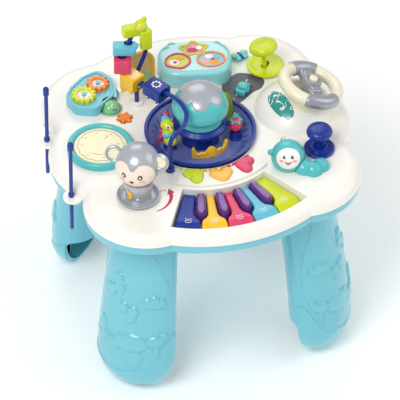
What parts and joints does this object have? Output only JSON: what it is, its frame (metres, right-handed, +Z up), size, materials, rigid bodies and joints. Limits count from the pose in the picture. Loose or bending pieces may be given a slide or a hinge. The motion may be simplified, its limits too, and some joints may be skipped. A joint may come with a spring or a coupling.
{
  "type": "musical activity table",
  "caption": "Cloud-shaped play table on plug-in legs with a curved keyboard, turning dish, steering wheel, bead maze, drum, buttons, gears, lever, lift-off sticks and toys.",
  "frame": {"origin": "on the floor, under the middle of the play dish", "axes": "+Z up, -Y towards the child at the keyboard, +X towards the steering wheel"},
  "size_m": [0.4279, 0.4318, 0.451],
  "materials": {
    "white_shell": "satin gloss",
    "turquoise_shell": "satin gloss",
    "steel": "plain",
    "green_board": "solder mask",
    "black_cone": "dull",
    "grey_rubber": "dull",
    "navy": "gloss",
    "yellow": "gloss",
    "pink_red": "gloss",
    "sky": "gloss",
    "lime": "gloss",
    "purple": "gloss",
    "orange": "gloss",
    "periwinkle": "gloss",
    "teal": "gloss",
    "pearl_grey": "pearl",
    "cream": "satin",
    "leaf_green": "gloss"
  },
  "bodies": {
    "table": {"top_shell": "white_shell", "bottom_tray": "turquoise_shell", "leg_front_left": "turquoise_shell", "leg_front_right": "turquoise_shell", "leg_back_left": "turquoise_shell", "leg_back_right": "turquoise_shell", "case_screws": "steel", "battery_door": "turquoise_shell", "battery_cells": "steel", "circuit_board": "green_board", "speaker": "black_cone", "contact_pads": "grey_rubber", "drum_ring": "teal", "gear_case": "turquoise_shell", "maze_tube": "navy", "music_box": "turquoise_shell", "box_windows": "yellow", "lever_guard": "lime", "steering_console": "white_shell", "plunger_guard": "navy", "bug_tail": "turquoise_shell"},
    "key_blue": {"key_blue": "navy"},
    "key_yellow": {"key_yellow": "yellow"},
    "key_pink": {"key_pink": "pink_red"},
    "key_turquoise": {"key_turquoise": "sky"},
    "key_lime": {"key_lime": "lime"},
    "key_sharp_1": {"key_sharp_1": "purple"},
    "key_sharp_2": {"key_sharp_2": "purple"},
    "key_sharp_3": {"key_sharp_3": "purple"},
    "key_sharp_4": {"key_sharp_4": "purple"},
    "heart_lime": {"heart_lime": "lime"},
    "heart_orange": {"heart_orange": "orange"},
    "heart_pink": {"heart_pink": "pink_red"},
    "flower_button": {"flower_button": "orange"},
    "drum_face": {"drum_face": "cream"},
    "dish": {"play_dish": "navy", "dish_lining": "periwinkle", "dome_shell": "teal", "dome_cap": "pearl_grey", "dish_figures": "pink_red"},
    "strawberry": {"strawberry": "pink_red"},
    "drumstick_back": {"drumstick_back": "navy"},
    "drumstick_front": {"drumstick_front": "navy"},
    "gear_yellow": {"gear_yellow": "lime"},
    "gear_orange": {"gear_orange": "orange"},
    "frog_roller": {"frog_roller": "leaf_green"},
    "mouse": {"mouse": "pearl_grey"},
    "block_blue": {"block_blue": "navy"},
    "block_yellow": {"block_yellow": "yellow"},
    "block_pink": {"block_pink": "pink_red"},
    "block_teal": {"block_teal": "teal"},
    "block_lime": {"block_lime": "lime"},
    "arched_page": {"arched_page": "yellow"},
    "butterfly": {"butterfly": "turquoise_shell"},
    "toy_car": {"toy_car": "turquoise_shell"},
    "shift_lever": {"shift_lever": "lime"},
    "wheel": {"steering_wheel": "cream"},
    "horn": {"horn_button": "cream"},
    "plunger": {"plunger": "navy"},
    "bug_head": {"bug_head": "turquoise_shell"}
  },
  "joints": [
    {"name": "key_blue_press", "type": "hinge", "parent": "table", "child": "key_blue", "pos_m": [-0.04573, -0.10986, 0.281], "axis": [0.9232, -0.3843, 0], "range_deg": [0, 2.5], "stiffness_Nm_per_rad": 2, "springref_deg": -1.15},
    {"name": "key_yellow_press", "type": "hinge", "parent": "table", "child": "key_yellow", "pos_m": [-0.0223, -0.11689, 0.281], "axis": [0.9823, -0.1874, 0], "range_deg": [0, 2.5], "stiffness_Nm_per_rad": 2, "springref_deg": -1.15},
    {"name": "key_pink_press", "type": "hinge", "parent": "table", "child": "key_pink", "pos_m": [0.00208, -0.11898, 0.281], "axis": [0.9998, 0.0175, 0], "range_deg": [0, 2.5], "stiffness_Nm_per_rad": 2, "springref_deg": -1.15},
    {"name": "key_turquoise_press", "type": "hinge", "parent": "table", "child": "key_turquoise", "pos_m": [0.02636, -0.11604, 0.281], "axis": [0.9751, 0.2215, 0], "range_deg": [0, 2.5], "stiffness_Nm_per_rad": 2, "springref_deg": -1.15},
    {"name": "key_lime_press", "type": "hinge", "parent": "table", "child": "key_lime", "pos_m": [0.04954, -0.1082, 0.281], "axis": [0.9092, 0.4163, 0], "range_deg": [0, 2.5], "stiffness_Nm_per_rad": 2, "springref_deg": -1.15},
    {"name": "key_sharp_1_press", "type": "hinge", "parent": "table", "child": "key_sharp_1", "pos_m": [-0.03448, -0.11494, 0.281], "axis": [0.9578, -0.2874, 0], "range_deg": [0, 2.5], "stiffness_Nm_per_rad": 1.2, "springref_deg": -1.15},
    {"name": "key_sharp_2_press", "type": "hinge", "parent": "table", "child": "key_sharp_2", "pos_m": [-0.01025, -0.11956, 0.281], "axis": [0.9963, -0.0854, 0], "range_deg": [0, 2.5], "stiffness_Nm_per_rad": 1.2, "springref_deg": -1.15},
    {"name": "key_sharp_3_press", "type": "hinge", "parent": "table", "child": "key_sharp_3", "pos_m": [0.01442, -0.11913, 0.281], "axis": [0.9928, 0.1201, 0], "range_deg": [0, 2.5], "stiffness_Nm_per_rad": 1.2, "springref_deg": -1.15},
    {"name": "key_sharp_4_press", "type": "hinge", "parent": "table", "child": "key_sharp_4", "pos_m": [0.03847, -0.11367, 0.281], "axis": [0.9472, 0.3206, 0], "range_deg": [0, 2.5], "stiffness_Nm_per_rad": 1.2, "springref_deg": -1.15},
    {"name": "heart_lime_press", "type": "slide", "parent": "table", "child": "heart_lime", "axis": [0, 0, 1], "range_m": [-0.002, 0], "stiffness_N_per_m": 150, "springref_m": 0.0015},
    {"name": "heart_orange_press", "type": "slide", "parent": "table", "child": "heart_orange", "axis": [0, 0, 1], "range_m": [-0.002, 0], "stiffness_N_per_m": 150, "springref_m": 0.0015},
    {"name": "heart_pink_press", "type": "slide", "parent": "table", "child": "heart_pink", "axis": [0, 0, 1], "range_m": [-0.002, 0], "stiffness_N_per_m": 150, "springref_m": 0.0015},
    {"name": "flower_press", "type": "slide", "parent": "table", "child": "flower_button", "axis": [0, 0, 1], "range_m": [-0.002, 0], "stiffness_N_per_m": 150, "springref_m": 0.0015},
    {"name": "drum_press", "type": "slide", "parent": "table", "child": "drum_face", "axis": [0, 0, 1], "range_m": [-0.002, 0], "stiffness_N_per_m": 300, "springref_m": 0.0015},
    {"name": "dish_spin", "type": "hinge", "parent": "table", "child": "dish", "pos_m": [0, 0, 0.3], "axis": [0, 0, 1], "continuous": true},
    {"name": "strawberry_spin", "type": "hinge", "parent": "dish", "child": "strawberry", "pos_m": [0.0471, -0.01351, 0.3], "axis": [0, 0, 1], "continuous": true},
    {"name": "drumstick_back_lift", "type": "slide", "parent": "table", "child": "drumstick_back", "axis": [0, 0, 1], "range_m": [0, 0.06]},
    {"name": "drumstick_front_lift", "type": "slide", "parent": "table", "child": "drumstick_front", "axis": [0, 0, 1], "range_m": [0, 0.06]},
    {"name": "gear_yellow_spin", "type": "hinge", "parent": "table", "child": "gear_yellow", "pos_m": [-0.136, 0.106, 0.316], "axis": [0, 0, 1], "continuous": true},
    {"name": "gear_orange_spin", "type": "hinge", "parent": "table", "child": "gear_orange", "pos_m": [-0.111, 0.1235, 0.316], "axis": [0, 0, 1], "continuous": true},
    {"name": "roller_spin", "type": "hinge", "parent": "table", "child": "frog_roller", "pos_m": [-0.104, 0.085, 0.3], "axis": [0.6428, 0.766, 0], "continuous": true},
    {"name": "mouse_spin", "type": "hinge", "parent": "table", "child": "mouse", "pos_m": [-0.12, -0.102, 0.3], "axis": [0, 0, 1], "continuous": true},
    {"name": "block_blue_slide", "type": "slide", "parent": "table", "child": "block_blue", "axis": [-0.4208, 0.8638, -0.2769], "range_m": [-0.003, 0.003]},
    {"name": "block_yellow_slide", "type": "slide", "parent": "table", "child": "block_yellow", "axis": [-0.6608, 0.6608, 0.3558], "range_m": [-0.002, 0.002]},
    {"name": "block_pink_slide", "type": "slide", "parent": "table", "child": "block_pink", "axis": [0, 0.1644, 0.9864], "range_m": [-0.002, 0.001]},
    {"name": "block_teal_slide", "type": "slide", "parent": "table", "child": "block_teal", "axis": [0.4386, 0.1949, 0.8773], "range_m": [-0.001, 0.003]},
    {"name": "block_lime_slide", "type": "slide", "parent": "table", "child": "block_lime", "axis": [0.974, 0.1257, -0.1885], "range_m": [-0.002, 0.002]},
    {"name": "page_flip", "type": "hinge", "parent": "table", "child": "arched_page", "pos_m": [-0.055, 0.117, 0.305], "axis": [-0.9792, -0.2028, 0], "range_deg": [0, 75]},
    {"name": "butterfly_spin", "type": "hinge", "parent": "table", "child": "butterfly", "pos_m": [0.101, 0.135, 0.3], "axis": [0, 0, 1], "continuous": true},
    {"name": "car_slide", "type": "slide", "parent": "table", "child": "toy_car", "axis": [0.6561, 0.7547, 0], "range_m": [-0.008, 0.008]},
    {"name": "lever_lean", "type": "hinge", "parent": "table", "child": "shift_lever", "pos_m": [0.127, 0.103, 0.288], "axis": [-0.766, 0.6428, 0], "range_deg": [0, 16]},
    {"name": "wheel_turn", "type": "hinge", "parent": "table", "child": "wheel", "pos_m": [0.16, 0, 0.346], "axis": [0.3256, 0, 0.9455], "range_deg": [-45, 45]},
    {"name": "horn_press", "type": "slide", "parent": "wheel", "child": "horn", "axis": [0.3256, 0, 0.9455], "range_m": [-0.0015, 0], "stiffness_N_per_m": 150, "springref_m": 0.0015},
    {"name": "plunger_press", "type": "slide", "parent": "table", "child": "plunger", "axis": [0, 0, 1], "range_m": [-0.008, 0], "stiffness_N_per_m": 100, "springref_m": 0.006},
    {"name": "bug_turn", "type": "hinge", "parent": "table", "child": "bug_head", "pos_m": [0.097, -0.095, 0.3], "axis": [0, 0, 1], "range_deg": [-30, 30]}
  ],
  "couplings": [
    {"joint": "gear_orange_spin", "follows": "gear_yellow_spin", "ratio": -1.0909}
  ]
}
